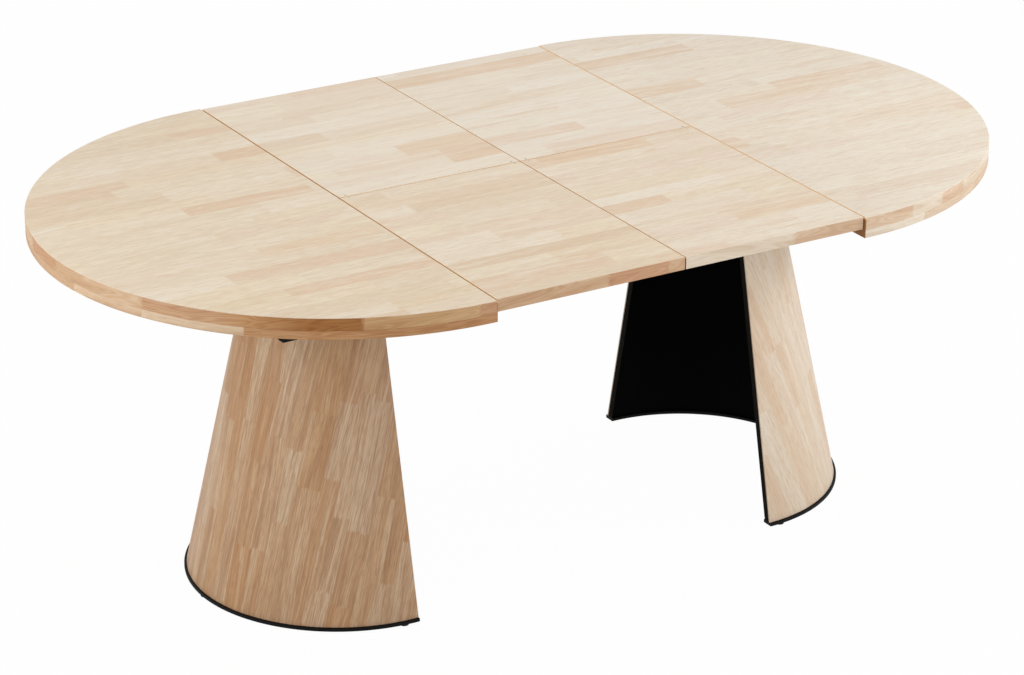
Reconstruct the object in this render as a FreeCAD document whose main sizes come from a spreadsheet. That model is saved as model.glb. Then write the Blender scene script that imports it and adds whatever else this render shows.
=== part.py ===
# Swivel extending table, standing open: two half-round tops on half-cone legs, with four leaf
# panels between them. Millimetres, +X along the table, +Z up, origin on the floor under the middle.

import FreeCAD
import Part
import Sketcher
import math
import os
import re

SIZES = {
    # The whole table
    "table_height": 775,
    "top_radius": 600,
    "seam_gap": 2,
    "overrun": 10,
    # Half tops: a board with a band glued under its rim
    "board_thick": 25,
    "band_thick": 17,
    "band_width": 60,
    # Leaf panels, two by two between the half tops
    "leaf_span": 403,
    "leaf_setback": 5,
    "leaf_clearance": 0.3,
    # Leaf hinges: link plates that turn on two pins
    "link_inset": 14,
    "link_thick": 3,
    "link_radius": 2.8,
    "link_gap": 0.3,
    "pin_radius": 1.5,
    "pin_play": 0.08,
    "pin_offset": 6,
    "pin_depth": 3.2,
    "pin_bite": 12,
    "fold_relief": 0.8,
    # Half-cone legs: a skin of wood on a black shell
    "leg_inset": 6,
    "leg_neck_radius": 182,
    "skin_thick": 3,
    "shell_thick": 15,
    "plate_thick": 18,
    "base_radius": 316,
    "base_overhang": 5,
    "base_width": 26,
    "base_thick": 7,
    "glide_radius": 9,
    "glide_inset": 10,
    "glide_height": 3,
    # Sub-frames and telescopic slides
    "frame_drop": 157,
    "frame_half_width": 248,
    "frame_inset": 7,
    "channel_length": 247,
    "channel_height": 40,
    "channel_depth": 24,
    "channel_wall": 2.5,
    "mouth_inset": 2,
    "run_gap": 0.4,
    "slide_stage": 200,
    "member_length": 347,
    "rail_overlap": 150,
    "bar_width": 24,
    "bolt_radius": 4,
    "bolt_head_radius": 7,
    "bolt_head_height": 5,
    # Posts and tongues under the boards, and their screws
    "post_width": 24,
    "post_inset": 20,
    "flange_ear": 20,
    "flange_thick": 4,
    "tongue_reach": 45,
    "tongue_root": 70,
    "tongue_width": 60,
    "tongue_thick": 4,
    "left_tongue_clearance": 22,
    "right_tongue_clearance": 122,
    "screw_radius": 2.5,
    "screw_head_radius": 5,
    "screw_head_height": 3,
    "screw_bite": 15,
    "screw_margin": 12,
    # Swivel support on the centre beam
    "king_radius": 15,
    "washer_radius": 30,
    "washer_thick": 4,
    "arm_play": 0.1,
    "arm_clearance": 16,
    "arm_width": 36,
    "arm_thick": 14,
    "hub_radius": 32,
    "collar_radius": 24,
    "collar_height": 10,
    "pad_length": 35,
    "pad_thick": 4,
    "bearer_clearance": 40,
    "bearer_width": 60,
    "bearer_height": 35,
    "groove_half_width": 30,
}

# Places of the leg bolts on a leg's top plate, as shares of the radius of its hollow.
INNER_BOLT_SHARE = 0.32
OUTER_BOLT_SHARE = 0.8
SIDE_BOLT_SHARE = 0.44

# Places and sizes that follow from the driving ones.
PLACES = {
    "half_edge": "seam_gap / 2 + leaf_span + seam_gap",
    "leaf_start": "seam_gap / 2",
    "leaf_end": "leaf_start + leaf_span",
    "leaf_tip": "top_radius - leaf_setback",
    "board_under": "table_height - board_thick",
    "leaf_under": "board_under + leaf_clearance",
    "near_link": "leaf_start + link_inset",
    "far_link": "leaf_end - link_inset - link_thick",
    "pin_height": "table_height - pin_depth",
    "pin_length": "link_inset + link_thick + pin_bite",
    "frame_foot": "table_height - frame_drop",
    "frame_top": "frame_foot + channel_height",
    "channel_start": "half_edge + frame_inset",
    "channel_end": "channel_start + channel_length",
    "channel_mouth": "frame_half_width - channel_depth",
    "member_start": "channel_start - slide_stage",
    "member_end": "member_start + member_length",
    "member_foot": "frame_foot + channel_wall + run_gap",
    "member_height": "channel_height - 2 * (channel_wall + run_gap)",
    "member_face": "frame_half_width - channel_wall - run_gap",
    "member_depth": "channel_depth - channel_wall - run_gap - mouth_inset",
    "rail_half_length": "member_start + rail_overlap",
    "rail_foot": "member_foot + channel_wall + run_gap",
    "rail_height": "member_height - 2 * (channel_wall + run_gap)",
    "rail_face": "member_face - channel_wall - run_gap",
    "rail_inner": "rail_face - (member_depth - channel_wall - run_gap - mouth_inset)",
    "leg_cut": "half_edge + leg_inset",
    "leg_foot_radius": "base_radius - base_overhang",
    "shell_foot": "glide_height + base_thick",
    "shell_top": "frame_foot - plate_thick",
    "shell_height": "shell_top - shell_foot",
    "shell_slope": "(leg_foot_radius - leg_neck_radius) / shell_height",
    "glide_ring": "base_radius - glide_inset",
    "neck_hollow": "leg_neck_radius - skin_thick - shell_thick",
    "inner_bar_middle": f"leg_cut + {INNER_BOLT_SHARE} * neck_hollow",
    "outer_bar_middle": f"leg_cut + {OUTER_BOLT_SHARE} * neck_hollow",
    "bolt_half_span": f"{SIDE_BOLT_SHARE} * neck_hollow",
    "flange_foot": "board_under - flange_thick",
    "tongue_foot": "board_under - tongue_thick",
    "left_tongue_place": "frame_half_width + left_tongue_clearance + tongue_width / 2",
    "right_tongue_place": "frame_half_width + right_tongue_clearance + tongue_width / 2",
    "arm_reach": "half_edge - tongue_reach - arm_clearance",
    "arm_foot": "frame_top + washer_thick + arm_play",
    "arm_top": "arm_foot + arm_thick",
    "pad_top": "leaf_under - fold_relief",
    "bearer_half_length": "arm_reach - pad_length - bearer_clearance",
    "bearer_foot": "leaf_under - bearer_height",
}

HALF_TURN = 180
QUARTER_TURN = 90
WHOLE_TURN = 360
SIDES = {"left": -1, "right": 1}
ENDS = {"front": -1, "rear": 1}
# Places of the glides round the half ring of a base, as shares of the half turn.
GLIDE_SHARES = (0.03, 0.5, 0.97)

doc = FreeCAD.newDocument("swivel_extending_table")
sheet = doc.addObject("Spreadsheet::Sheet", "sizes")
for row, (alias, size) in enumerate(SIZES.items(), start=1):
    sheet.set(f"A{row}", alias)
    sheet.set(f"B{row}", str(size))
    sheet.setAlias(f"B{row}", alias)
doc.recompute()
pieces = []


def formula(text):
    """Writes the places out in driving sizes, and the sizes as cells of the sheet."""
    def spell(match):
        word = match.group(0)
        if word in PLACES:
            return "(" + formula(PLACES[word]) + ")"
        return "sizes." + word if word in SIZES else word
    return re.sub(r"[a-z_]+", spell, text)


def bind(item, **sizes):
    for name, text in sizes.items():
        item.setExpression(name, formula(text))
    return item


def put(item, x, y, z, axis=(0, 0, 1), turn=0):
    item.Placement.Rotation = FreeCAD.Rotation(FreeCAD.Vector(*axis), turn)
    for name, text in zip("xyz", (x, y, z)):
        item.setExpression("Placement.Base." + name, formula(text))
    return item


def span(sign, low, high):
    """A range of places on the positive side of the middle, or its mirror image."""
    return (low, high) if sign > 0 else (f"-({high})", f"-({low})")


def along(sign, text):
    return text if sign > 0 else f"-({text})"


def box(x, y, z):
    item = doc.addObject("Part::Box", "box")
    bind(item, **{name: f"({high}) - ({low})" for name, (low, high)
                  in zip(("Length", "Width", "Height"), (x, y, z))})
    return put(item, x[0], y[0], z[0])


def rod(radius, height, x, y, z):
    item = bind(doc.addObject("Part::Cylinder", "rod"), Radius=radius, Height=height)
    return put(item, x, y, z)


def pin_along_x(radius, x, y, z):
    item = bind(doc.addObject("Part::Cylinder", "pin"), Radius=radius, Height=f"({x[1]}) - ({x[0]})")
    return put(item, x[0], y, z, axis=(0, 1, 0), turn=QUARTER_TURN)


def half_round(sign, radius, thick, x, z):
    """A half disc whose straight edge faces the middle of the table."""
    item = bind(doc.addObject("Part::Cylinder", "half_round"), Radius=radius, Height=thick)
    item.Angle = HALF_TURN
    return put(item, along(sign, x), "0", z, turn=-sign * QUARTER_TURN)


def leg_cone(sign, inset, past, angle):
    """The leg's cone, an inset smaller than its skin and run past both ends."""
    item = doc.addObject("Part::Cone", "cone")
    bind(item, Radius1=f"leg_foot_radius - ({inset}) + ({past}) * shell_slope",
         Radius2=f"leg_neck_radius - ({inset}) - ({past}) * shell_slope",
         Height=f"shell_height + 2 * ({past})")
    item.Angle = angle
    return put(item, along(sign, "leg_cut"), "0", f"shell_foot - ({past})", turn=-sign * QUARTER_TURN)


def fuse(items):
    item = doc.addObject("Part::MultiFuse", "fuse")
    item.Shapes = items
    return item


def group(items):
    item = doc.addObject("Part::Compound", "group")
    item.Links = items
    return item


def cut(base, tools):
    item = doc.addObject("Part::Cut", "cut")
    item.Base = base
    item.Tool = tools[0] if len(tools) == 1 else group(tools)
    return item


def keep(name, item):
    item.Label = name
    pieces.append(item)
    return item


def cross_tube(x, half_length):
    """A rectangular tube across the table, as high as the slide channels."""
    y = (f"-({half_length})", half_length)
    bore = box((f"{x[0]} + channel_wall", f"{x[1]} - channel_wall"),
               (f"{y[0]} - overrun", f"{y[1]} + overrun"),
               ("frame_foot + channel_wall", "frame_top - channel_wall"))
    return cut(box(x, y, ("frame_foot", "frame_top")), [bore])


def slide_section(name, end, depth, height, x, face, foot):
    """A C section along the table, its mouth turned to the table's long centre line."""
    body = doc.addObject("PartDesign::Body", name)
    sketch = body.newObject("Sketcher::SketchObject", name + "_section")
    plane = next(item for item in body.Origin.OriginFeatures if item.Role == "YZ_Plane")
    sketch.AttachmentSupport = [(plane, "")]
    sketch.MapMode = "FlatFace"
    grid = ((0, 0), (3, 0), (3, 1), (1, 1), (1, 4), (3, 4), (3, 5), (0, 5))
    corners = [FreeCAD.Vector(across, up, 0) for across, up in grid]
    count = len(corners)
    for index in range(count):
        sketch.addGeometry(Part.LineSegment(corners[index], corners[(index + 1) % count]))
    for index in range(count):
        sketch.addConstraint(Sketcher.Constraint("Coincident", index, 2, (index + 1) % count, 1))
        sketch.addConstraint(Sketcher.Constraint("Vertical" if index % 2 else "Horizontal", index))
    sketch.addConstraint(Sketcher.Constraint("Coincident", 0, 1, -1, 1))
    sketch.addConstraint(Sketcher.Constraint("Equal", 0, 6))
    sketch.addConstraint(Sketcher.Constraint("Equal", 1, 5))
    measures = (("depth", "DistanceX", (0, 1, 0, 2), depth),
                ("height", "DistanceY", (7, 2, 7, 1), height),
                ("flange", "DistanceY", (1, 1, 1, 2), "channel_wall"),
                ("web", "DistanceX", (-1, 1, 3, 1), "channel_wall"))
    for label, kind, ends, text in measures:
        index = sketch.addConstraint(Sketcher.Constraint(kind, *ends, 1))
        sketch.renameConstraint(index, label)
        sketch.setExpression("Constraints." + label, formula(text))
    pad = body.newObject("PartDesign::Pad", name + "_length")
    pad.Profile = sketch
    bind(pad, Length=f"({x[1]}) - ({x[0]})")
    turn = 0 if end < 0 else HALF_TURN
    return put(body, x[0] if end < 0 else x[1], along(end, face), foot, turn=turn)


def screw(x, y, seat):
    """A pan-head screw up into a board: its shank, and the whole screw."""
    shank = rod("screw_radius", f"board_under - ({seat}) + screw_bite", x, y, seat)
    head = rod("screw_head_radius", "screw_head_height", x, y, f"{seat} - screw_head_height")
    return shank, fuse([shank, head])


def leg_bolt(x, y):
    """A bolt through a leg's top plate and a cross bar, with a head below and a nut above."""
    shank = rod("bolt_radius", "plate_thick + channel_height", x, y, "shell_top")
    head = rod("bolt_head_radius", "bolt_head_height", x, y, "shell_top - bolt_head_height")
    nut = rod("bolt_head_radius", "bolt_head_height", x, y, "frame_top")
    return shank, fuse([shank, head, nut])


def make_leg(side, sign):
    """Shell and skin as two nested half cones on a base ring with glides."""
    core = leg_cone(sign, "skin_thick", "0", HALF_TURN)
    hollow = leg_cone(sign, "skin_thick + shell_thick", "overrun", WHOLE_TURN)
    keep(f"{side}_leg_shell", cut(core, [hollow]))
    outside = leg_cone(sign, "0", "0", HALF_TURN)
    inside = leg_cone(sign, "skin_thick", "overrun", WHOLE_TURN)
    keep(f"{side}_leg_skin", cut(outside, [inside]))
    ring = half_round(sign, "base_radius", "base_thick", "leg_cut", "glide_height")
    bore = rod("base_radius - base_width", "base_thick + 2 * overrun",
               along(sign, "leg_cut"), "0", "glide_height - overrun")
    keep(f"{side}_base_ring", cut(ring, [bore]))
    glides = []
    for share in GLIDE_SHARES:
        angle = math.pi * share
        x = along(sign, f"leg_cut + {math.sin(angle)} * glide_ring")
        glides.append(rod("glide_radius", "glide_height", x, f"{-math.cos(angle)} * glide_ring", "0"))
    keep(f"{side}_glides", group(glides))


def make_frame(side, sign):
    """Slide channels, end bar and cross bars, bolted to the top plate of the leg."""
    for end, back in ENDS.items():
        section = slide_section(f"{side}_{end}_channel", back, "channel_depth", "channel_height",
                                span(sign, "channel_start", "channel_end"), "frame_half_width", "frame_foot")
        keep(f"{side}_{end}_channel", section)
    bar = cross_tube(span(sign, "channel_end - bar_width", "channel_end"), "channel_mouth")
    keep(f"{side}_end_bar", bar)
    shanks = []
    bolts = []
    for place in ("inner", "outer"):
        middle = f"{place}_bar_middle"
        holes = []
        for end in ENDS.values():
            shank, bolt = leg_bolt(along(sign, middle), along(end, "bolt_half_span"))
            holes.append(shank)
            bolts.append(bolt)
        x = span(sign, f"{middle} - bar_width / 2", f"{middle} + bar_width / 2")
        bar = cross_tube(x, "channel_mouth")
        keep(f"{side}_{place}_cross_bar", cut(bar, holes))
        shanks += holes
    plate = half_round(sign, "leg_neck_radius", "plate_thick", "leg_cut", "shell_top")
    keep(f"{side}_leg_plate", cut(plate, shanks))
    keep(f"{side}_leg_bolts", group(bolts))


def make_half_top(side, sign):
    """Board and rim band, with the posts and leaf tongues that are screwed up into the board."""
    shanks = []
    screws = []
    posts = []
    post_starts = ("channel_start + post_inset", "channel_end - post_width")
    for start in post_starts:
        for end in ENDS.values():
            x = (start, f"{start} + post_width")
            y = span(end, "frame_half_width - post_width", "frame_half_width")
            middle = along(end, "frame_half_width - post_width / 2")
            holes = []
            for ear in (f"{x[0]} - flange_ear / 2", f"{x[1]} + flange_ear / 2"):
                shank, whole = screw(along(sign, ear), middle, "flange_foot")
                holes.append(shank)
                screws.append(whole)
            post = box(span(sign, *x), y, ("frame_top", "flange_foot"))
            ears = span(sign, f"{x[0]} - flange_ear", f"{x[1]} + flange_ear")
            flange = box(ears, y, ("flange_foot", "board_under"))
            posts.append(cut(fuse([post, flange]), holes))
            shanks += holes
    keep(f"{side}_posts", group(posts))
    tongues = []
    for end in ENDS.values():
        place = along(end, f"{side}_tongue_place")
        holes = []
        for x in ("half_edge + 2 * screw_margin", "half_edge + tongue_root - screw_margin"):
            shank, whole = screw(along(sign, x), place, "tongue_foot")
            holes.append(shank)
            screws.append(whole)
        plate = box(span(sign, "half_edge - tongue_reach", "half_edge + tongue_root"),
                    (f"{place} - tongue_width / 2", f"{place} + tongue_width / 2"),
                    ("tongue_foot", "board_under"))
        tongues.append(cut(plate, holes))
        shanks += holes
    keep(f"{side}_leaf_tongues", group(tongues))
    keep(f"{side}_screws", group(screws))
    disc = half_round(sign, "top_radius", "board_thick", "half_edge", "board_under")
    keep(f"{side}_top_board", cut(disc, shanks))
    band = half_round(sign, "top_radius", "band_thick", "half_edge", "board_under - band_thick")
    bore = rod("top_radius - band_width", "band_thick + 2 * overrun", along(sign, "half_edge"), "0",
               "board_under - band_thick - overrun")
    keep(f"{side}_rim_band", cut(band, [bore]))


def make_slides():
    """Intermediate members inside the channels, and the centre rails inside the members."""
    for end, back in ENDS.items():
        for side, sign in SIDES.items():
            member = slide_section(f"{side}_{end}_member", back, "member_depth", "member_height",
                                   span(sign, "member_start", "member_end"), "member_face", "member_foot")
            keep(f"{side}_{end}_member", member)
        rail = box(("-(rail_half_length)", "rail_half_length"), span(back, "rail_inner", "rail_face"),
                   ("rail_foot", "rail_foot + rail_height"))
        keep(f"{end}_centre_rail", rail)


def make_centre():
    """Centre beam between the rails, with the king post, the swivel arm and the leaf bearer on it."""
    keep("centre_beam", cross_tube(("-bar_width / 2", "bar_width / 2"), "rail_inner"))
    keep("king_post", rod("king_radius", "bearer_foot - frame_top", "0", "0", "frame_top"))
    rings = (("thrust_washer", "washer_radius", "washer_thick", "frame_top"),
             ("post_collar", "collar_radius", "collar_height", "arm_top + arm_play"))
    for name, radius, height, foot in rings:
        bore = rod("king_radius", f"{height} + 2 * overrun", "0", "0", f"{foot} - overrun")
        keep(name, cut(rod(radius, height, "0", "0", foot), [bore]))
    width = ("-arm_width / 2", "arm_width / 2")
    body = [rod("hub_radius", "arm_thick", "0", "0", "arm_foot"),
            box(("-arm_reach", "arm_reach"), width, ("arm_foot", "arm_top"))]
    risers = []
    pads = []
    for sign in SIDES.values():
        x = span(sign, "arm_reach - pad_length", "arm_reach")
        risers.append(box(x, width, ("arm_top", "pad_top - pad_thick")))
        pads.append(box(x, width, ("pad_top - pad_thick", "pad_top")))
    bore = rod("king_radius + pin_play", "arm_thick + 2 * overrun", "0", "0", "arm_foot - overrun")
    keep("swivel_arm", cut(fuse(body), [bore]))
    keep("arm_risers", group(risers))
    keep("arm_pads", group(pads))
    batten = box(("-bearer_width / 2", "bearer_width / 2"), ("-bearer_half_length", "bearer_half_length"),
                 ("bearer_foot", "leaf_under"))
    groove = box(("-bearer_width / 2 - overrun", "bearer_width / 2 + overrun"),
                 ("-groove_half_width", "groove_half_width"), ("leaf_under - fold_relief", "leaf_under + overrun"))
    keep("leaf_bearer", cut(batten, [groove]))


def make_leaves():
    """Four panels, hinged in pairs across the long seam by link plates let into their edges."""
    rear_pins = []
    for side, sign in SIDES.items():
        stretches = (("near_link", ("leaf_start", "leaf_start + pin_length")),
                     ("far_link", ("leaf_end - pin_length", "leaf_end")))
        for end, back in ENDS.items():
            slots = []
            pins = []
            for start, pin_span in stretches:
                slot_x = span(sign, f"{start} - link_gap", f"{start} + link_thick + link_gap")
                slot_y = span(back, "0", "pin_offset + link_radius + link_gap")
                slot_z = ("pin_height - link_radius - link_gap", "table_height + overrun")
                slots.append(box(slot_x, slot_y, slot_z))
                pins.append(pin_along_x("pin_radius", span(sign, *pin_span),
                                        along(back, "pin_offset"), "pin_height"))
            panel = box(span(sign, "leaf_start", "leaf_end"), span(back, "leaf_start", "leaf_tip"),
                        ("leaf_under", "table_height"))
            keep(f"{end}_{side}_leaf", cut(panel, slots + pins))
            if end == "rear":
                rear_pins += pins
            else:
                keep(f"front_{side}_hinge_pins", group(pins))
        links = []
        for start, _ in stretches:
            x = span(sign, start, f"{start} + link_thick")
            bar = box(x, ("-pin_offset", "pin_offset"), ("pin_height - link_radius", "pin_height + link_radius"))
            knuckles = [pin_along_x("link_radius", x, along(back, "pin_offset"), "pin_height")
                        for back in ENDS.values()]
            bore_x = (f"{x[0]} - overrun", f"{x[1]} + overrun")
            bores = [pin_along_x("pin_radius + pin_play", bore_x, along(back, "pin_offset"), "pin_height")
                     for back in ENDS.values()]
            links.append(cut(fuse([bar] + knuckles), bores))
        keep(f"{side}_hinge_links", group(links))
    keep("rear_hinge_pins", group(rear_pins))


for side_name, side_sign in SIDES.items():
    make_leg(side_name, side_sign)
    make_frame(side_name, side_sign)
    make_half_top(side_name, side_sign)
make_slides()
make_centre()
make_leaves()
doc.recompute()

for item in doc.Objects:
    if "Invalid" in item.State or "Error" in item.State:
        raise RuntimeError(f"{item.Label} did not build: {item.State}")
for item in pieces:
    if item.Shape.isNull() or not item.Shape.isValid() or not item.Shape.Solids:
        raise RuntimeError(f"{item.Label} has no valid solid")

os.makedirs("parts", exist_ok=True)
for item in pieces:
    item.Shape.exportStep(f"parts/{item.Label}.step")
print(len(pieces), "pieces")
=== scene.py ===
import math

import bmesh
import bpy
import numpy as np
from mathutils import Matrix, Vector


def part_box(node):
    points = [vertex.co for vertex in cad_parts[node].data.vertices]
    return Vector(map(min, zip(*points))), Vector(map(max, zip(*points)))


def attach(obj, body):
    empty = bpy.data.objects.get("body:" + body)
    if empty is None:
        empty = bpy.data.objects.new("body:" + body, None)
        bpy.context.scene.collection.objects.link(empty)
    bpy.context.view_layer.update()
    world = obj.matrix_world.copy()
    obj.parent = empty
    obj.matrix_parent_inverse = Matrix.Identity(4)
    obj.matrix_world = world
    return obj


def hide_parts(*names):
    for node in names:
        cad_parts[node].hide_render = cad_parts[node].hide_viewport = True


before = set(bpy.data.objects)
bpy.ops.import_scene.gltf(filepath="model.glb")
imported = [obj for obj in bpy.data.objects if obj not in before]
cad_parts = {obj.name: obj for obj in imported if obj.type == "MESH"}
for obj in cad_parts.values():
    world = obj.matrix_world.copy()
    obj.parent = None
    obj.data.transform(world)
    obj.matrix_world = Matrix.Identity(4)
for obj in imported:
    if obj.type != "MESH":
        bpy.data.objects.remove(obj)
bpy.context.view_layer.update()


# Leg shells: the half-cone bodies of the two legs, bent from thin sheets glued over each other,
# 15 mm thick in all, sanded and painted matt black inside and along the cut edges. The cut faces
# are coloured a lighter grey than the inside: painted light, for the light that falls on them.

def linear(red, green, blue):
    """A colour in screen values from 0 to 255 as the linear colour that a shader takes:
    each channel c becomes ((c / 255 + 0.055) / 1.055) to the power 2.4."""
    screen = np.array((red, green, blue)) / 255
    return (*(((screen + 0.055) / 1.055) ** 2.4), 1.0)


class Value:
    """One socket of a finish. Arithmetic on it adds Math nodes to the same finish."""

    def __init__(self, finish, socket):
        self.finish = finish
        self.socket = socket

    def maths(self, operation, *others):
        return self.finish.maths(operation, self, *others)

    def __add__(self, other):
        return self.maths("ADD", other)

    __radd__ = __add__

    def __mul__(self, other):
        return self.maths("MULTIPLY", other)

    __rmul__ = __mul__

    def __sub__(self, other):
        return self.maths("SUBTRACT", other)

    def __rsub__(self, other):
        return self.finish.maths("SUBTRACT", other, self)

    def __truediv__(self, other):
        return self.maths("DIVIDE", other)

    def __rtruediv__(self, other):
        return self.finish.maths("DIVIDE", other, self)

    def __abs__(self):
        return self.maths("ABSOLUTE")

    def ripple(self):
        """From 0 to 1 and back again: 0.5 + 0.5 times the sine of the value."""
        return 0.5 + 0.5 * self.maths("SINE")

    def between(self, low, high):
        """0 below low, 1 above high, and a smooth step from one to the other."""
        return self.finish.node("ShaderNodeMapRange", {"interpolation_type": "SMOOTHSTEP"},
                                {0: self, 1: low, 2: high, 3: 0.0, 4: 1.0})[0]


class Finish:
    """A material with one Principled shader. What varies over the surface is linked to it."""

    def __init__(self, name, **constants):
        self.material = bpy.data.materials.new(name)
        self.material.use_nodes = True
        self.tree = self.material.node_tree
        self.shader = self.tree.nodes["Principled BSDF"]
        for key, value in constants.items():
            self.shader.inputs[key.replace("_", " ")].default_value = value

    def node(self, kind, settings=None, sockets=None):
        """Adds a node: its settings first, then the values or links of its sockets."""
        item = self.tree.nodes.new(kind)
        for key, value in (settings or {}).items():
            if key == "stops":
                ramp = item.color_ramp.elements
                ramp[0].position = value[0][0]
                ramp[-1].position = value[-1][0]
                for place, _ in value[1:-1]:
                    ramp.new(place)
                for stop, (_, colour) in zip(ramp, value):
                    stop.color = colour
            else:
                setattr(item, key, value)
        for key, value in (sockets or {}).items():
            self.feed(item.inputs[key], value)
        return [Value(self, socket) for socket in item.outputs]

    def feed(self, socket, value):
        if isinstance(value, Value):
            self.tree.links.new(value.socket, socket)
        else:
            socket.default_value = value

    def maths(self, operation, *values):
        return self.node("ShaderNodeMath", {"operation": operation}, dict(enumerate(values)))[0]

    def spot(self):
        """The point on the piece, in metres."""
        return self.node("ShaderNodeTexCoord")[3]

    def sheet(self):
        """The point's place on the flat sheet that the piece was bent from, in metres."""
        return self.node("ShaderNodeUVMap", {"uv_map": "sheet"})[0]

    def split(self, vector):
        return self.node("ShaderNodeSeparateXYZ", {}, {0: vector})

    def vector(self, x, y, z):
        return self.node("ShaderNodeCombineXYZ", {}, {0: x, 1: y, 2: z})[0]

    def noise(self, vector, scale, detail=2.0, roughness=0.5):
        sockets = {"Vector": vector, "Scale": scale, "Detail": detail, "Roughness": roughness}
        return self.node("ShaderNodeTexNoise", {}, sockets)[0]

    def channels(self, colour):
        return self.node("ShaderNodeSeparateColor", {}, {0: colour})

    def chance(self, x, y, z):
        """Three random values from 0 to 1 that belong to the cell x, y, z."""
        cell = {"Vector": self.vector(x, y, z)}
        return self.channels(self.node("ShaderNodeTexWhiteNoise", {}, cell)[1])

    def blend(self, share, first, second, how="MIX"):
        """The first colour, and the second, or the first times the second, where the share is 1."""
        return self.node("ShaderNodeMix", {"data_type": "RGBA", "blend_type": how},
                         {0: share, 6: first, 7: second})[2]

    def layers(self, colour, *coats):
        """A colour with coats blended over it in turn, each a share, a colour and maybe how."""
        for share, coat, *how in coats:
            colour = self.blend(share, colour, coat, *how)
        return colour

    def ramp(self, value, *stops):
        """The colour at value on a scale of stops, each a place from 0 to 1 and a colour."""
        return self.node("ShaderNodeValToRGB", {"stops": stops}, {0: value})[0]

    def relief(self, height, depth, strength):
        """Links a height from 0 to 1, as deep as depth metres, to the shader's normal."""
        bump = self.node("ShaderNodeBump", {},
                         {"Strength": strength, "Distance": depth, "Height": height})
        self.feed(self.shader.inputs["Normal"], bump[0])

    def dress(self, colour, roughness):
        self.feed(self.shader.inputs["Base Color"], colour)
        self.feed(self.shader.inputs["Roughness"], roughness)
        return self.material


def eased(corners, ease):
    """A closed outline whose corners are cut by two short facets each: on the curve
    (1 - t) squared of the start + 2 t (1 - t) of the corner + t squared of the end, at t 0,
    0.5 and 1."""
    corners = np.array(corners, dtype=float)
    ease = np.broadcast_to(ease, len(corners))[:, None]
    back = np.roll(corners, 1, axis=0) - corners
    ahead = np.roll(corners, -1, axis=0) - corners
    start = corners + back / np.linalg.norm(back, axis=1, keepdims=True) * ease
    end = corners + ahead / np.linalg.norm(ahead, axis=1, keepdims=True) * ease
    t = np.array((0.0, 0.5, 1.0))[None, :, None]
    curve = ((1 - t) ** 2 * start[:, None] + 2 * t * (1 - t) * corners[:, None]
             + t ** 2 * end[:, None])
    return curve.reshape(-1, 2)


def solid(name, points, faces, sheet=None):
    """A mesh object from its points and faces, smooth but for its arrises.
    sheet gives each point its place (u, v) on a flat sheet, kept as the UV map."""
    arris = math.radians(25)
    mesh = bpy.data.meshes.new(name)
    mesh.from_pydata(points.tolist(), [], faces)
    mesh.polygons.foreach_set("use_smooth", np.ones(len(mesh.polygons), dtype=bool))
    mesh.set_sharp_from_angle(angle=arris)
    if sheet is not None:
        corner = np.empty(len(mesh.loops), dtype=np.int32)
        mesh.loops.foreach_get("vertex_index", corner)
        places = mesh.uv_layers.new(name="sheet").uv
        places.foreach_set("vector", sheet[corner].astype(np.float32).ravel())
    mesh.update()
    item = bpy.data.objects.new(name, mesh)
    bpy.context.scene.collection.objects.link(item)
    return item


def half_turn(name, sign, edge, profile, steps, sheet=None):
    """A closed profile of (radius, height) carried round a half turn, with a flat cap at each end.
    x is sign times (edge + radius times the cosine of the turn), y is sign times radius times its
    sine, z is the height, and the turn goes from -90 to 90 degrees. sheet(turn, radius, height)
    gives u and v."""
    radius, height = np.array(profile).T
    turns = np.linspace(-np.pi / 2, np.pi / 2, steps + 1)
    turn, radius = np.meshgrid(turns, radius, indexing="ij")
    height = np.broadcast_to(height, radius.shape)
    x = sign * (edge + radius * np.cos(turn))
    y = sign * radius * np.sin(turn)
    points = np.stack((x, y, height), axis=-1)
    count = radius.shape[1]
    ring, place = np.meshgrid(np.arange(steps), np.arange(count), indexing="ij")
    after = (place + 1) % count
    quads = np.stack((ring * count + place, (ring + 1) * count + place,
                      (ring + 1) * count + after, ring * count + after), axis=-1)
    caps = [list(range(count)), list(range(steps * count, (steps + 1) * count))[::-1]]
    flat = None
    if sheet is not None:
        flat = np.stack(sheet(turn, radius, height), axis=-1).reshape(-1, 2)
    return solid(name, points.reshape(-1, 3), quads.reshape(-1, 4).tolist() + caps, flat)


SIDES = {"left": -1, "right": 1}
leg_cut = 0.412                  # from the middle of the table to a leg's cut edges
leg_foot, leg_head = 0.010, 0.600
shell_outer = (0.308, 0.179)     # radius at the foot and at the head
shell_inner = (0.293, 0.164)

paint = Finish("matt_black_paint", Specular_IOR_Level=0.03)
spot = paint.spot()
stipple = paint.noise(spot, 420.0, 3.0, 0.6)
clouds = paint.noise(spot, 7.0, 3.0, 0.6)
rubbed = (stipple * clouds).between(0.30, 0.48)
# Painted light: the cut faces, within 1 mm of the cut, get a lighter grey than the inside.
lit_cut_faces = 1 - (abs(paint.split(spot)[0]) - leg_cut).between(0.0003, 0.0010)
paint_tint = paint.layers(
    paint.ramp(clouds, (0.3, linear(0, 0, 0)), (0.7, linear(2, 2, 2))),
    (rubbed * 0.3, linear(9, 8, 8)),
    (lit_cut_faces, linear(34, 31, 28)))
paint.relief(stipple, 0.0002, 0.35)
paint.dress(paint_tint, 0.70 + 0.25 * stipple)

shell_profile = eased(((shell_outer[0], leg_foot), (shell_outer[1], leg_head),
                       (shell_inner[1], leg_head), (shell_inner[0], leg_foot)), ease=0.0006)
for side, sign in SIDES.items():
    shell = half_turn(side + "_shell", sign, leg_cut, shell_profile, steps=96)
    shell.data.materials.append(paint.material)
    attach(shell, side + "_half")
    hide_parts(side + "_leg_shell")


# Leg skins: one sheet of finger-jointed wood glued round each shell, 3 mm thick, sanded and
# lacquered matt. The sheet is cut flat, so its grain runs straight up only in the leg's middle.

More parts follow.
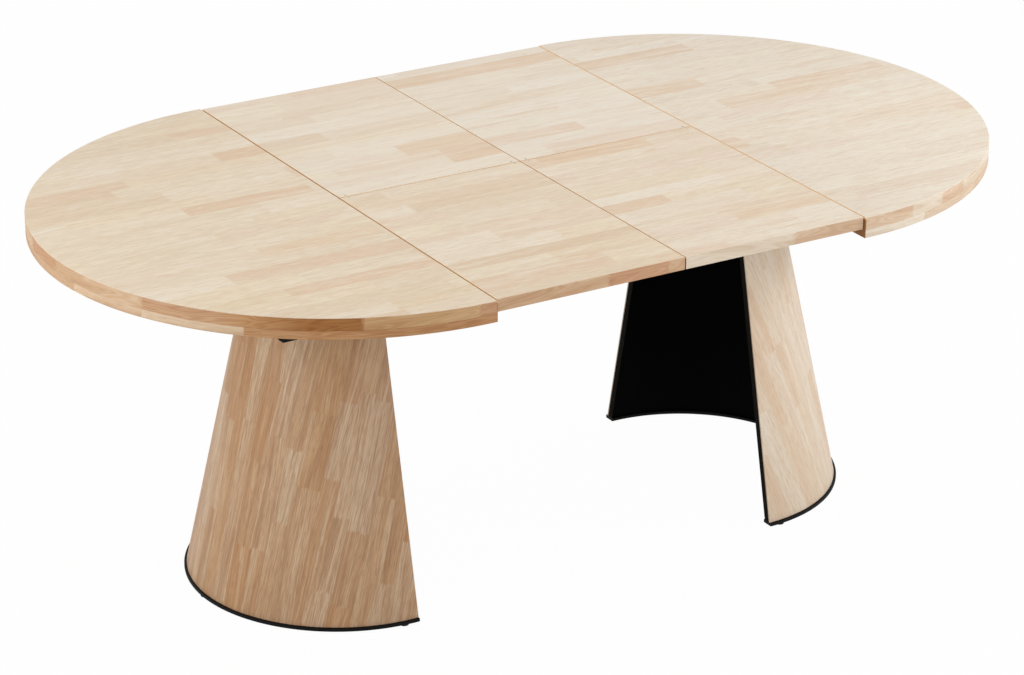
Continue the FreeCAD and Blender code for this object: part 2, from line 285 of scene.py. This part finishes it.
def staves(finish, along, across, depth, width, length, stretch, seed):
    """Staves glued side by side and finger-jointed end to end. The row is the whole part of
    across / width, swayed by a sine so that rows differ. The stave is the whole part of (along +
    the teeth of the joint) / length, each row shifted by a chance of its own, and swayed too.
    Gives three chances of the stave, and its grain, which leans and sways from stave to stave:
    streaks, fibres and pores are noise drawn out along it by stretch, and rings are the sine of a
    low noise."""
    tooth_width, tooth_slope, lean = 0.0022, 2.8, 0.09
    rows = across / width + seed
    rows = rows + 0.15 * (rows * 1.9).maths("SINE")
    row = rows.maths("FLOOR")
    shift = finish.chance(row, seed, 0.5)[0]
    teeth = across.maths("PINGPONG", tooth_width) * tooth_slope
    ends = (along + teeth) / length + shift * 7.0
    ends = ends + 0.2 * (ends * 2.3 + shift * 9.0).maths("SINE")
    luck = finish.chance(row, ends.maths("FLOOR"), seed)
    run = along / stretch + luck[0] * 13.0
    straight = across + luck[1] * 3.0 + (luck[2] - 0.5) * lean * along
    deep = depth + luck[2] * 5.0

    def marks(side, lengths, widths, detail, roughness):
        """Noise with so many marks to the metre along the grain and across it."""
        spot = finish.vector(run * lengths, side * widths, deep * widths)
        return finish.noise(spot, 1.0, detail, roughness)

    hills = marks(straight, 1.6, 12.0, 1.0, 0.4)
    waves = marks(straight, 10.0, 26.0, 1.0, 0.5)
    swayed = straight + hills * 0.02 + waves * 0.012
    streaks = marks(swayed, 5.0, 52.0, 3.0, 0.55)
    fibres = marks(swayed, 22.0, 300.0, 2.0, 0.6)
    pores = marks(swayed, 90.0, 1000.0, 1.0, 0.5)
    rings = (hills * 95.0 + streaks * 3.0).ripple()
    return luck, streaks, fibres, rings, pores


def leg_wood(name, seed, tones, dark, ruddy, pale):
    """Lacquered staves on the flat sheet of a leg: v is along the grain and u across it. Some
    staves are ruddy. Hairs are a noise of short dashes over all staves."""
    finish = Finish(name, Specular_IOR_Level=0.4)
    u, v, _ = finish.split(finish.sheet())
    luck, streaks, fibres, rings, pores = staves(finish, v, u, u * 0.2, width=0.038,
                                                 length=0.21, stretch=2.6, seed=seed)
    hairs = finish.noise(finish.vector(v * 42.0, u * 540.0, luck[0] * 40.0), 1.0, 1.0, 0.6)
    pits = pores.between(0.56, 0.68)
    colour = finish.layers(
        finish.ramp(luck[0], *zip((0.0, 0.3, 0.7, 1.0), tones)),
        (luck[1].between(0.6, 1.0) * 0.4, ruddy),
        (streaks.between(0.48, 0.72) * 0.5, dark),
        ((1 - streaks).between(0.50, 0.68) * 0.45, pale),
        (fibres.between(0.42, 0.64) * 0.45, dark),
        (hairs.between(0.45, 0.68) * 0.34, dark),
        (rings * luck[2].between(0.5, 1.0) * 0.25, dark),
        (pits * 0.4, linear(205, 176, 146), "MULTIPLY"))
    finish.relief(0.6 * fibres - 0.4 * pits, 0.00025, 0.5)
    return finish.dress(colour, 0.46 + 0.14 * fibres)


skin_outer = (0.311, 0.182)      # radius at the foot and at the head
slope = (skin_outer[0] - skin_outer[1]) / (leg_head - leg_foot)
cone_share = slope / math.hypot(slope, 1.0)


def flat_sheet(turn, radius, height):
    """The cone rolled out flat: a point lies radius / cone_share from the tip, at turn times
    cone_share from the middle line."""
    reach = radius / cone_share
    return reach * np.sin(turn * cone_share), reach * np.cos(turn * cone_share)


# The two legs are one wood, but the left one has darker, warmer tones and the right one paler
# tones: painted shade on the left leg and painted light on the right one, where the lamps fall.
shaded_and_lit_leg_woods = {
    "left": leg_wood(
        "left_leg_wood_painted_shade", 6.0,
        tones=(linear(192, 146, 103), linear(199, 161, 123),
               linear(203, 168, 134), linear(208, 179, 150)),
        dark=linear(156, 110, 72), ruddy=linear(196, 144, 98), pale=linear(222, 201, 172)),
    "right": leg_wood(
        "right_leg_wood_painted_light", 12.0,
        tones=(linear(221, 194, 168), linear(225, 205, 182),
               linear(228, 213, 194), linear(230, 220, 206)),
        dark=linear(214, 187, 158), ruddy=linear(223, 194, 168), pale=linear(235, 227, 215)),
}
skin_profile = eased(((skin_outer[0], leg_foot), (skin_outer[1], leg_head),
                      (shell_outer[1], leg_head), (shell_outer[0], leg_foot)), ease=0.0004)
for side, sign in SIDES.items():
    skin = half_turn(side + "_skin", sign, leg_cut, skin_profile, steps=128, sheet=flat_sheet)
    skin.data.materials.append(shaded_and_lit_leg_woods[side])
    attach(skin, side + "_half")
    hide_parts(side + "_leg_skin")


# Base rings and glides: a half ring of flat steel, powder-coated black, is screwed under each leg,
# a little proud of the skin. Three round glides of moulded plastic are pressed into it.

def wear(finish, *nodes):
    """Gives CAD nodes a finish in place of the plain one that they come with."""
    for node in nodes:
        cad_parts[node].material_slots[0].material = finish.material


powder = Finish("black_powder_coat", Specular_IOR_Level=0.12)
spot = powder.spot()
peel = powder.noise(spot, 650.0, 2.0, 0.55)
dust = powder.noise(spot, 9.0, 4.0, 0.6).between(0.45, 0.8)
powder.relief(peel, 0.00025, 0.5)
powder.dress(powder.blend(dust * 0.35, linear(7, 6, 6), linear(22, 20, 19)), 0.5 + 0.22 * peel)

plastic = Finish("black_moulded_plastic", Specular_IOR_Level=0.3)
spot = plastic.spot()
spark = plastic.noise(spot, 900.0, 2.0, 0.6)
x, y, z = plastic.split(spot)
scuffs = plastic.noise(plastic.vector(x * 30.0, y * 30.0, z * 240.0), 1.0, 4.0, 0.65)
scuffed = scuffs.between(0.55, 0.75) * 0.5
plastic.relief(spark, 0.00015, 0.4)
plastic.dress(plastic.blend(scuffed, linear(12, 12, 11), linear(32, 30, 29)), 0.5 + 0.2 * spark)

ring_outer, ring_inner, ring_foot = 0.316, 0.290, 0.003
ring_profile = eased(((ring_outer, ring_foot), (ring_outer, leg_foot),
                      (ring_inner, leg_foot), (ring_inner, ring_foot)), ease=0.0012)
for side, sign in SIDES.items():
    ring = half_turn(side + "_foot_ring", sign, leg_cut, ring_profile, steps=96)
    ring.data.materials.append(powder.material)
    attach(ring, side + "_half")
    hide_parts(side + "_base_ring")
    wear(plastic, side + "_glides")


# Leg plates and sub-frames: a plywood plate closes each leg's head, painted black. Channels, cross
# bars and an end bar of black powder-coated steel are bolted on it, with posts up to the board.

plate_paint = Finish("black_painted_plywood", Specular_IOR_Level=0.25)
x, y, z = plate_paint.split(plate_paint.spot())
grain = plate_paint.noise(plate_paint.vector(x * 14.0, y * 260.0, z * 30.0), 1.0, 4.0, 0.6)
plies = (z * 3500.0).ripple()
plate_tint = plate_paint.blend(grain.between(0.35, 0.7), linear(14, 13, 13), linear(27, 25, 23))
plate_paint.relief(0.7 * grain + 0.3 * plies, 0.0003, 0.5)
plate_paint.dress(plate_tint, 0.6 + 0.25 * grain)

zinc = Finish("bright_zinc", Metallic=1.0)
spot = zinc.spot()
flakes = zinc.node("ShaderNodeTexVoronoi", {}, {"Vector": spot, "Scale": 320.0})[1]
flake = zinc.channels(flakes)[0]
x, y, z = zinc.split(spot)
rub = zinc.noise(zinc.vector(x * 60.0, y * 900.0, z * 900.0), 1.0, 3.0, 0.6)
zinc_tint = zinc.blend(flake * 0.5, linear(146, 148, 151), linear(172, 174, 178))
zinc.relief(rub, 0.0001, 0.2)
zinc.dress(zinc_tint, 0.40 + 0.2 * rub)

for side in SIDES:
    wear(plate_paint, side + "_leg_plate")
    wear(zinc, side + "_leg_bolts")
    wear(powder, side + "_front_channel", side + "_rear_channel", side + "_end_bar",
         side + "_inner_cross_bar", side + "_outer_cross_bar", side + "_posts")


# Telescopic slides: zinc-plated members run in the channels, and flat centre rails run in the
# members. A black centre beam ties the two rails together under the leaves.

for side in SIDES:
    wear(zinc, side + "_front_member", side + "_rear_member")
wear(zinc, "front_centre_rail", "rear_centre_rail")
wear(powder, "centre_beam")


# Swivel support: a steel arm turns on a king post between a nylon washer and a collar. Beech
# risers with felt pads stand on its ends, and a beech batten on the post carries the leaves.

beech = Finish("sanded_beech", Specular_IOR_Level=0.3)
x, y, z = beech.split(beech.spot())
fibre = beech.noise(beech.vector(x * 320.0, y * 9.0, z * 320.0), 1.0, 3.0, 0.6)
fleck = beech.noise(beech.vector(x * 800.0, y * 130.0, z * 800.0), 1.0, 1.0).between(0.60, 0.70)
beech_tint = beech.ramp(fibre, (0.3, linear(204, 164, 120)), (0.7, linear(224, 190, 148)))
beech.relief(fibre, 0.0002, 0.5)
beech.dress(beech.blend(fleck * 0.5, beech_tint, linear(160, 112, 74)), 0.5 + 0.2 * fibre)

felt = Finish("grey_felt", Specular_IOR_Level=0.1)
spot = felt.spot()
fuzz = felt.noise(spot, 1100.0, 5.0, 0.75)
tuft = felt.noise(spot, 160.0, 3.0, 0.6)
felt_tint = felt.blend(fuzz.between(0.3, 0.7), linear(74, 73, 74), linear(122, 121, 120))
felt.relief(0.6 * fuzz + 0.4 * tuft, 0.0012, 0.9)
felt.dress(felt_tint, 0.9 + 0.08 * tuft)

nylon = Finish("natural_nylon", Specular_IOR_Level=0.45)
spot = nylon.spot()
milk = nylon.noise(spot, 60.0, 3.0, 0.6)
nylon.relief(nylon.noise(spot, 700.0), 0.0001, 0.3)
nylon.dress(nylon.blend(milk, linear(214, 212, 202), linear(232, 231, 224)), 0.38 + 0.15 * milk)

wear(zinc, "king_post", "post_collar")
wear(nylon, "thrust_washer")
wear(powder, "swivel_arm")
wear(beech, "arm_risers", "leaf_bearer")
wear(felt, "arm_pads")


# Leaf tongues and screws: flat zinc-plated tongues are screwed under the straight edge of each
# board and reach under the leaves. Pan-head screws hold them and the posts.

for side in SIDES:
    wear(zinc, side + "_leaf_tongues", side + "_screws")


# Rim bands: curved segments of the same wood, 60 mm wide and 17 mm thick, glued under the round
# edge of each board, butted end to end, turned true with the board and lacquered.

half_edge, top_radius = 0.406, 0.600
rim_end = math.pi / 2 * top_radius
band_inner, band_low, board_low = 0.540, 0.733, 0.750


def rim_wood(name, seed, tones, dark, heart_from):
    """Segments that follow each other round the rim: u is the length of arc, v the height. The
    segments past the arc heart_from are darker heartwood, and the sawn ends are coloured dark
    brown: painted shade, for the shade under the leaves. The lines of the figure are the sine of a
    noise stretched along u, stronger in heartwood."""
    finish = Finish(name, Specular_IOR_Level=0.4)
    u, v, _ = finish.split(finish.sheet())
    luck, streaks, fibres, rings, pores = staves(finish, u, v * 0.1, v, width=0.060,
                                                 length=0.26, stretch=1.5, seed=seed)
    hearted = u.between(heart_from, heart_from + 0.004)
    swell = finish.noise(finish.vector(u * 6.0, v * 90.0, luck[1] * 9.0), 1.0, 2.0, 0.5)
    lines = (swell * 46.0).ripple()
    pits = pores.between(0.60, 0.72)
    sawn = abs(u).between(rim_end - 0.0010, rim_end - 0.0004)
    colour = finish.layers(
        finish.ramp(luck[0], *zip((0.0, 0.35, 0.7, 1.0), tones)),
        (streaks.between(0.45, 0.70) * 0.5, dark),
        (rings * luck[2].between(0.3, 0.9) * 0.4, dark),
        (fibres.between(0.45, 0.70) * 0.25, dark),
        (hearted * 0.82, linear(188, 138, 88)),
        (lines * (0.16 + 0.38 * hearted), linear(216, 180, 142), "MULTIPLY"),
        (pits * 0.25, linear(120, 80, 48)),
        # Painted shade: the band's sawn ends are coloured dark brown.
        (sawn, linear(158, 104, 56)))
    finish.relief(0.6 * fibres - 0.4 * pits, 0.00025, 0.5)
    return finish.dress(colour, 0.44 + 0.14 * fibres)


def round_the_rim(turn, radius, height):
    """u is the turn times the outer radius, v is the height less the way in from the rim."""
    return turn * top_radius, height - (top_radius - radius)


rim_woods = {
    "left": rim_wood(
        "left_rim_wood", 2.0,
        tones=(linear(195, 151, 110), linear(210, 174, 138),
               linear(219, 188, 155), linear(222, 195, 164)),
        dark=linear(176, 126, 82), heart_from=0.472),
    "right": rim_wood(           # no heartwood: it would start past the rim's end
        "right_rim_wood", 5.0,
        tones=(linear(214, 186, 155), linear(222, 202, 177),
               linear(226, 210, 188), linear(230, 218, 200)),
        dark=linear(200, 164, 128), heart_from=2.0),
}
band_profile = eased(((top_radius, band_low), (top_radius, board_low),
                      (band_inner, board_low), (band_inner, band_low)),
                     ease=(0.0016, 0.0004, 0.0004, 0.0008))
for side, sign in SIDES.items():
    band = half_turn(side + "_band", sign, half_edge, band_profile, steps=160,
                     sheet=round_the_rim)
    band.data.materials.append(rim_woods[side])
    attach(band, side + "_half")
    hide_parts(side + "_rim_band")


# Half tops: two half discs of finger-jointed staves, 25 mm thick, sawn round and lacquered matt.
# The staves run along the table, so the round edge goes from long grain to end grain.

board_high = 0.775


def half_disc(name, sign, levels, steps):
    """A half disc built up from outlines, each with an inset and a height. An outline is the arc
    of the radius less the inset, between its two meetings with the straight line that lies the
    inset from the edge, and that line. The first and last outline are closed by flat faces."""
    inset, height = np.array(levels).T[:, :, None]
    reach = top_radius - inset
    meeting = np.arccos(inset / reach)
    turn = meeting * np.linspace(-1.0, 1.0, steps + 1)
    share = np.linspace(1.0, -1.0, steps // 4 + 1)[1:-1]
    line = np.broadcast_to(inset, (len(levels), len(share)))
    across = np.concatenate((reach * np.cos(turn), line), axis=1)
    along = np.concatenate((reach * np.sin(turn), reach * np.sin(meeting) * share), axis=1)
    points = np.stack((sign * (half_edge + across), sign * along,
                       np.broadcast_to(height, along.shape)), axis=-1)
    count = along.shape[1]
    level, place = np.meshgrid(np.arange(len(levels) - 1), np.arange(count), indexing="ij")
    after = (place + 1) % count
    quads = np.stack((level * count + place, level * count + after,
                      (level + 1) * count + after, (level + 1) * count + place), axis=-1)
    last = (len(levels) - 1) * count
    caps = [list(range(count))[::-1], list(range(last, last + count))]
    return solid(name, points.reshape(-1, 3), quads.reshape(-1, 4).tolist() + caps)


def top_wood(name, seed, toning, tone, hairiness, pieces, edge_mask):
    """Lacquered staves along x, all toned by a share of tone: painted shade where the tone is warm
    and a painted sheen where it is pale. A few staves are much darker. Hairs are a noise of short
    dark and pale dashes over all of them. edge_mask(finish, x, y) gives the way along the outer
    edge in metres, 1 on that edge, and 1 on the sawn faces of the seams, which get painted shade:
    dark brown deep down, pale near the top. pieces are the woods that follow each other on the
    edge, each with its start on that way and one colour, or two that it shades between. Their lines
    are the sine of a noise stretched along the edge, stronger in dark wood."""
    finish = Finish(name, Specular_IOR_Level=0.35)
    x, y, z = finish.split(finish.spot())
    luck, streaks, fibres, rings, pores = staves(finish, x, y, z, width=0.050,
                                                 length=0.34, stretch=1.2, seed=seed)
    hairs = finish.noise(finish.vector(x * 34.0, y * 250.0, luck[0] * 40.0), 1.0, 1.0, 0.6)
    pits = pores.between(0.60, 0.72)
    face = finish.layers(
        finish.ramp(luck[0], (0.0, linear(216, 193, 165)), (0.12, linear(221, 202, 177)),
                    (0.25, linear(225, 209, 187)), (0.85, linear(228, 214, 194)),
                    (1.0, linear(231, 219, 201))),
        (luck[2].between(0.6, 0.9) * 0.55, linear(224, 199, 178)),
        (luck[1].between(0.6, 0.9) * 0.50, linear(230, 214, 184)),
        # Painted light and shade: tone is warm on the left parts and pale on the right ones.
        (toning, tone),
        (luck[2].between(0.82, 0.98) * (1.1 * streaks), linear(217, 186, 153)),
        (streaks.between(0.48, 0.72) * (0.12 + 0.3 * luck[1]), linear(208, 180, 149)),
        ((1 - streaks).between(0.52, 0.74) * 0.40, linear(237, 229, 216)),
        (fibres.between(0.46, 0.70) * 0.28, linear(204, 174, 141)),
        (hairs.between(0.45, 0.68) * hairiness, linear(208, 180, 149)),
        ((1 - hairs).between(0.50, 0.70) * hairiness, linear(234, 222, 204)),
        (rings * luck[2].between(0.6, 1.0) * 0.14, linear(208, 177, 143)),
        (pits * 0.15, linear(160, 122, 86)))

    way, edge, sawn = edge_mask(finish, x, y)
    longest, joint = 2.0, 0.0004     # a way longer than any edge, and the joint's share of it
    stops = []
    for (start, *woods), end in zip(pieces, [piece[0] for piece in pieces[1:]] + [longest]):
        stops += [(start / longest, woods[0]), (end / longest - joint, woods[-1])]
    wood = finish.ramp(way / longest, *stops)
    redness = finish.channels(wood)[0]
    swell = finish.noise(finish.vector(way * 7.0 + z * 30.0, z * 40.0, redness * 6.0),
                         1.0, 1.0, 0.4)
    lines = (swell * 72.0).ripple()
    rim = finish.layers(
        wood,
        (lines * (0.98 - redness), linear(212, 178, 142), "MULTIPLY"),
        (swell.between(0.4, 0.7) * 0.45, linear(220, 193, 162), "MULTIPLY"))

    # Painted shade: the sawn faces of the seams are dark brown deeper than 5.5 mm below the top and
    # pale within 2 mm of it, for the shade deep in the gaps.
    seam_face_shade = finish.blend(z.between(board_high - 0.0055, board_high - 0.0020),
                        linear(164, 118, 70), linear(236, 200, 156))
    finish.relief(0.6 * fibres - 0.4 * pits, 0.0002, 0.4)
    return finish.dress(finish.layers(face, (edge, rim), (sawn, seam_face_shade)), 0.45 + 0.12 * fibres)


def round_edge(finish, x, y):
    """The way round the top starts at its front corner: the radius times the angle whose tangent
    is the distance out from the straight edge over -y. The edge lies within 1 mm of the radius,
    and the sawn face within 2 mm of the straight edge."""
    out = abs(x) - half_edge
    reach = (out * out + y * y).maths("SQRT")
    way = top_radius * finish.maths("ARCTAN2", out, 0 - y)
    edge = reach.between(top_radius - 0.0010, top_radius - 0.0002)
    return way, edge, 1 - out.between(0.0012, 0.0020)


# Painted light and shade: the left parts are toned warmer and the right ones paler and greyer, for
# the shade on the left and the sheen of the light on the right.
warm_shade_tone, pale_sheen_tone = linear(220, 197, 163), linear(229, 222, 212)
cream, blush, pale = linear(227, 212, 192), linear(220, 193, 166), linear(214, 181, 147)
straw, tan, rust = linear(208, 170, 125), linear(202, 159, 121), linear(206, 162, 127)
brown, heart = linear(196, 149, 102), linear(165, 111, 57)
edge_pieces = {
    "left": ((0.0, tan), (0.035, straw), (0.255, heart), (0.35, heart, brown),
             (0.468, brown, tan), (0.535, tan), (0.68, pale), (0.93, tan), (1.06, pale),
             (1.24, cream), (1.46, blush), (1.69, pale)),
    "right": ((0.0, blush), (0.12, cream), (0.215, blush), (0.30, cream), (0.82, blush),
              (1.05, cream), (1.33, pale), (1.58, cream)),
}
shade_and_sheen_board_tones = {"left": (0.20, warm_shade_tone, 0.27), "right": (0.48, pale_sheen_tone, 0.26)}
board_levels = ((0.0004, board_low), (0.0, board_low + 0.0004), (0.0, board_high - 0.0025),
                (0.0004, board_high - 0.0013), (0.0012, board_high - 0.0004),
                (0.0025, board_high))
for seed, (side, sign) in enumerate(SIDES.items()):
    board = half_disc(side + "_board", sign, board_levels, steps=180)
    board.data.materials.append(top_wood(side + "_top_wood", 11.0 + 6.0 * seed,
                                         *shade_and_sheen_board_tones[side], edge_pieces[side], round_edge))
    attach(board, side + "_half")
    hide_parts(side + "_top_board")


# Leaf panels: four boards of the same staves between the half tops, their arrises eased by hand.
# Each front panel hangs on its rear panel by links that lie in slots sawn into the meeting edges.

leaf_side, leaf_tip = 0.405, 0.595


def straight_edge(finish, x, y):
    """The way along a panel's outer end starts at the middle of the table. The edge lies within
    1 mm of that end, and the sawn faces within 1.6 mm of the lines of the seams."""
    way, out = abs(x), abs(y)
    near = way.maths("MINIMUM", leaf_side - way).maths("MINIMUM", out)
    edge = out.between(leaf_tip - 0.0010, leaf_tip - 0.0003)
    return way, edge, 1 - near.between(0.0012, 0.0016)


def eased_copy(node, name, ease):
    """The node's solid with its outer arrises eased: the points are merged, flat faces joined, and
    an edge is marked for the bevel where its middle lies on two sides of the solid's box."""
    same_point, same_side, flat = 1e-6, 1e-5, math.radians(1)
    low, high = (np.array(corner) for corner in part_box(node))
    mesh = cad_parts[node].data.copy()
    shape = bmesh.new()
    shape.from_mesh(mesh)
    bmesh.ops.remove_doubles(shape, verts=shape.verts, dist=same_point)
    bmesh.ops.dissolve_limit(shape, angle_limit=flat, verts=shape.verts, edges=shape.edges)
    shape.to_mesh(mesh)
    shape.free()
    ends = np.empty(len(mesh.edges) * 2, dtype=np.int32)
    mesh.edges.foreach_get("vertices", ends)
    points = np.empty(len(mesh.vertices) * 3)
    mesh.vertices.foreach_get("co", points)
    start, end = points.reshape(-1, 3)[ends.reshape(-1, 2)].transpose(1, 0, 2)
    on_side = sum((np.abs(start - corner) < same_side) & (np.abs(end - corner) < same_side)
                  for corner in (low, high))
    marked = (on_side.sum(axis=1) >= 2).astype(np.float32)
    weight = mesh.attributes.new("bevel_weight_edge", "FLOAT", "EDGE")
    weight.data.foreach_set("value", marked)
    mesh.polygons.foreach_set("use_smooth", np.zeros(len(mesh.polygons), dtype=bool))
    mesh.materials.clear()
    item = bpy.data.objects.new(name, mesh)
    bpy.context.scene.collection.objects.link(item)
    bevel = item.modifiers.new("eased_arris", "BEVEL")
    bevel.limit_method = "WEIGHT"
    bevel.width = ease
    bevel.segments = 2
    bevel.vmesh_method = "CUTOFF"
    return item


# Each panel's tones give a share of painted shade or of painted sheen, as for the boards.
panels = (
    ("rear_left_leaf", "centre_frame", (0.2, pale_sheen_tone, 0.08), ((0.0, pale), (0.18, cream))),
    ("rear_right_leaf", "centre_frame", (0.5, pale_sheen_tone, 0.08), ((0.0, cream), (0.22, pale))),
    ("front_left_leaf", "left_fold_leaf", (0.1, warm_shade_tone, 0.24),
     ((0.0, pale), (0.035, rust), (0.165, pale))),
    ("front_right_leaf", "right_fold_leaf", (0.2, pale_sheen_tone, 0.22), ((0.0, cream), (0.25, blush))),
)
for seed, (node, body, tones, pieces) in enumerate(panels):
    panel = eased_copy(node, node.replace("leaf", "panel"), ease=0.0008)
    panel.data.materials.append(top_wood(node + "_wood", 31.0 + 7.0 * seed,
                                         *tones, pieces, straight_edge))
    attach(panel, body)
    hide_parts(node)


# Hinge links and pins: short steel links, lacquered in the tone of the wood, lie in the slots of
# two panels and turn on zinc-plated pins driven in from the panels' ends.

sand = Finish("sand_lacquered_steel", Specular_IOR_Level=0.4)
speckle = sand.noise(sand.spot(), 700.0, 3.0, 0.6)
sand_tint = sand.blend(speckle, linear(208, 184, 154), linear(224, 205, 180))
sand.relief(speckle, 0.0001, 0.4)
sand.dress(sand_tint, 0.4 + 0.2 * speckle)

for side in SIDES:
    wear(sand, side + "_hinge_links")
wear(zinc, "rear_hinge_pins", "front_left_hinge_pins", "front_right_hinge_pins")


# Studio: a plain pale floor, a wide soft lamp above, soft lamps and a reflector on the right, in
# front and on the left, and the camera where the photograph was taken from.

def seen(finish):
    """1 for rays straight from the camera, off gloss or through glass, and 0 for all others."""
    rays = finish.node("ShaderNodeLightPath")
    return rays[0].maths("MAXIMUM", rays[3]).maths("MAXIMUM", rays[6])


white = (1.0, 1.0, 1.0, 1.0)
floor_reach = 15.0
corners = floor_reach * np.array(((-1, -1, 0), (1, -1, 0), (1, 1, 0), (-1, 1, 0)))
floor_mesh = bpy.data.meshes.new("floor")
floor_mesh.from_pydata(corners.tolist(), [], [(0, 1, 2, 3)])
floor = bpy.data.objects.new("floor", floor_mesh)
bpy.context.scene.collection.objects.link(floor)
ground = Finish("pale_floor", Base_Color=linear(226, 225, 223), Roughness=0.9,
                Specular_IOR_Level=0.0)
glow = ground.node("ShaderNodeEmission", {}, {"Color": white, "Strength": 1.0})[0]
matt = Value(ground, ground.shader.outputs[0])
cover = ground.node("ShaderNodeMixShader", {}, {0: seen(ground) * 0.98, 1: matt, 2: glow})[0]
ground.feed(ground.tree.nodes["Material Output"].inputs["Surface"], cover)
floor_mesh.materials.append(ground.material)


class Room(Finish):
    """The nodes of the world round the table, made in the same way as those of a finish."""

    def __init__(self, name):
        self.world = bpy.data.worlds.new(name)
        self.world.use_nodes = True
        self.tree = self.world.node_tree


room = Room("studio_room")
bpy.context.scene.world = room.world
warm = (1.0, 0.99, 0.975, 1.0)
dim = room.node("ShaderNodeBackground", {}, {"Color": warm, "Strength": 0.55})[0]
bright = room.node("ShaderNodeBackground", {}, {"Color": white, "Strength": 1.0})[0]
cover = room.node("ShaderNodeMixShader", {}, {0: seen(room), 1: dim, 2: bright})[0]
room.feed(room.tree.nodes["World Output"].inputs["Surface"], cover)


def placed(right, up, back, place):
    """The matrix that puts an object at place, its x to the right, y up and z to the back."""
    matrix = np.identity(4)
    matrix[:3] = np.stack((right, up, back, place), axis=1)
    return Matrix(matrix.tolist())


def soft_lamp(name, place, target, size, power, colour):
    """A square lamp at place whose face looks at target."""
    lamp = bpy.data.lights.new(name, "AREA")
    lamp.size = size
    lamp.energy = power
    lamp.color = colour
    item = bpy.data.objects.new(name, lamp)
    back = np.array(place) - np.array(target)
    back = back / np.linalg.norm(back)
    right = np.cross((0.0, 1.0, 0.0), back)
    right = right / np.linalg.norm(right)
    item.matrix_world = placed(right, np.cross(back, right), back, place)
    bpy.context.scene.collection.objects.link(item)


soft_lamp("overhead_lamp", place=(0.1, 0.4, 4.6), target=(0.0, 0.0, 0.7),
          size=3.6, power=62.0, colour=(1.0, 1.0, 0.99))
soft_lamp("right_lamp", place=(2.8, -1.37, 2.1), target=(0.6, -0.15, 0.47),
          size=0.45, power=22.0, colour=(0.94, 0.98, 1.0))
soft_lamp("right_reflector", place=(2.4, -0.9, 0.45), target=(0.75, -0.1, 0.4),
          size=1.0, power=3.5, colour=(0.82, 0.93, 1.0))
soft_lamp("front_lamp", place=(1.6, -3.8, 1.0), target=(0.3, 0.0, 0.5),
          size=1.6, power=34.0, colour=(0.97, 0.985, 1.0))
soft_lamp("left_lamp", place=(-3.2, 0.0, 1.2), target=(-0.7, 0.0, 0.4),
          size=1.3, power=31.0, colour=(0.90, 0.97, 1.0))

photo_width, focal_pixels, sensor = 1024, 3614.0, 36.0
azimuth, elevation, roll = (math.radians(angle) for angle in (-30.8968, 22.9924, 0.1651))
stand = np.array((-3.45796, -5.74994, 3.24327))
lens = bpy.data.cameras.new("photo_camera")
lens.sensor_fit = "HORIZONTAL"
lens.sensor_width = sensor
lens.lens = focal_pixels * sensor / photo_width
camera = bpy.data.objects.new("photo_camera", lens)
level = np.array((math.cos(azimuth), math.sin(azimuth), 0.0))
back = np.array((math.sin(azimuth) * math.cos(elevation),
                 -math.cos(azimuth) * math.cos(elevation), math.sin(elevation)))
upright = np.cross(back, level)
right = math.cos(roll) * level + math.sin(roll) * upright
up = math.cos(roll) * upright - math.sin(roll) * level
camera.matrix_world = placed(right, up, back, stand)
bpy.context.scene.collection.objects.link(camera)
bpy.context.scene.camera = camera
bpy.context.scene.view_settings.view_transform = "Standard"
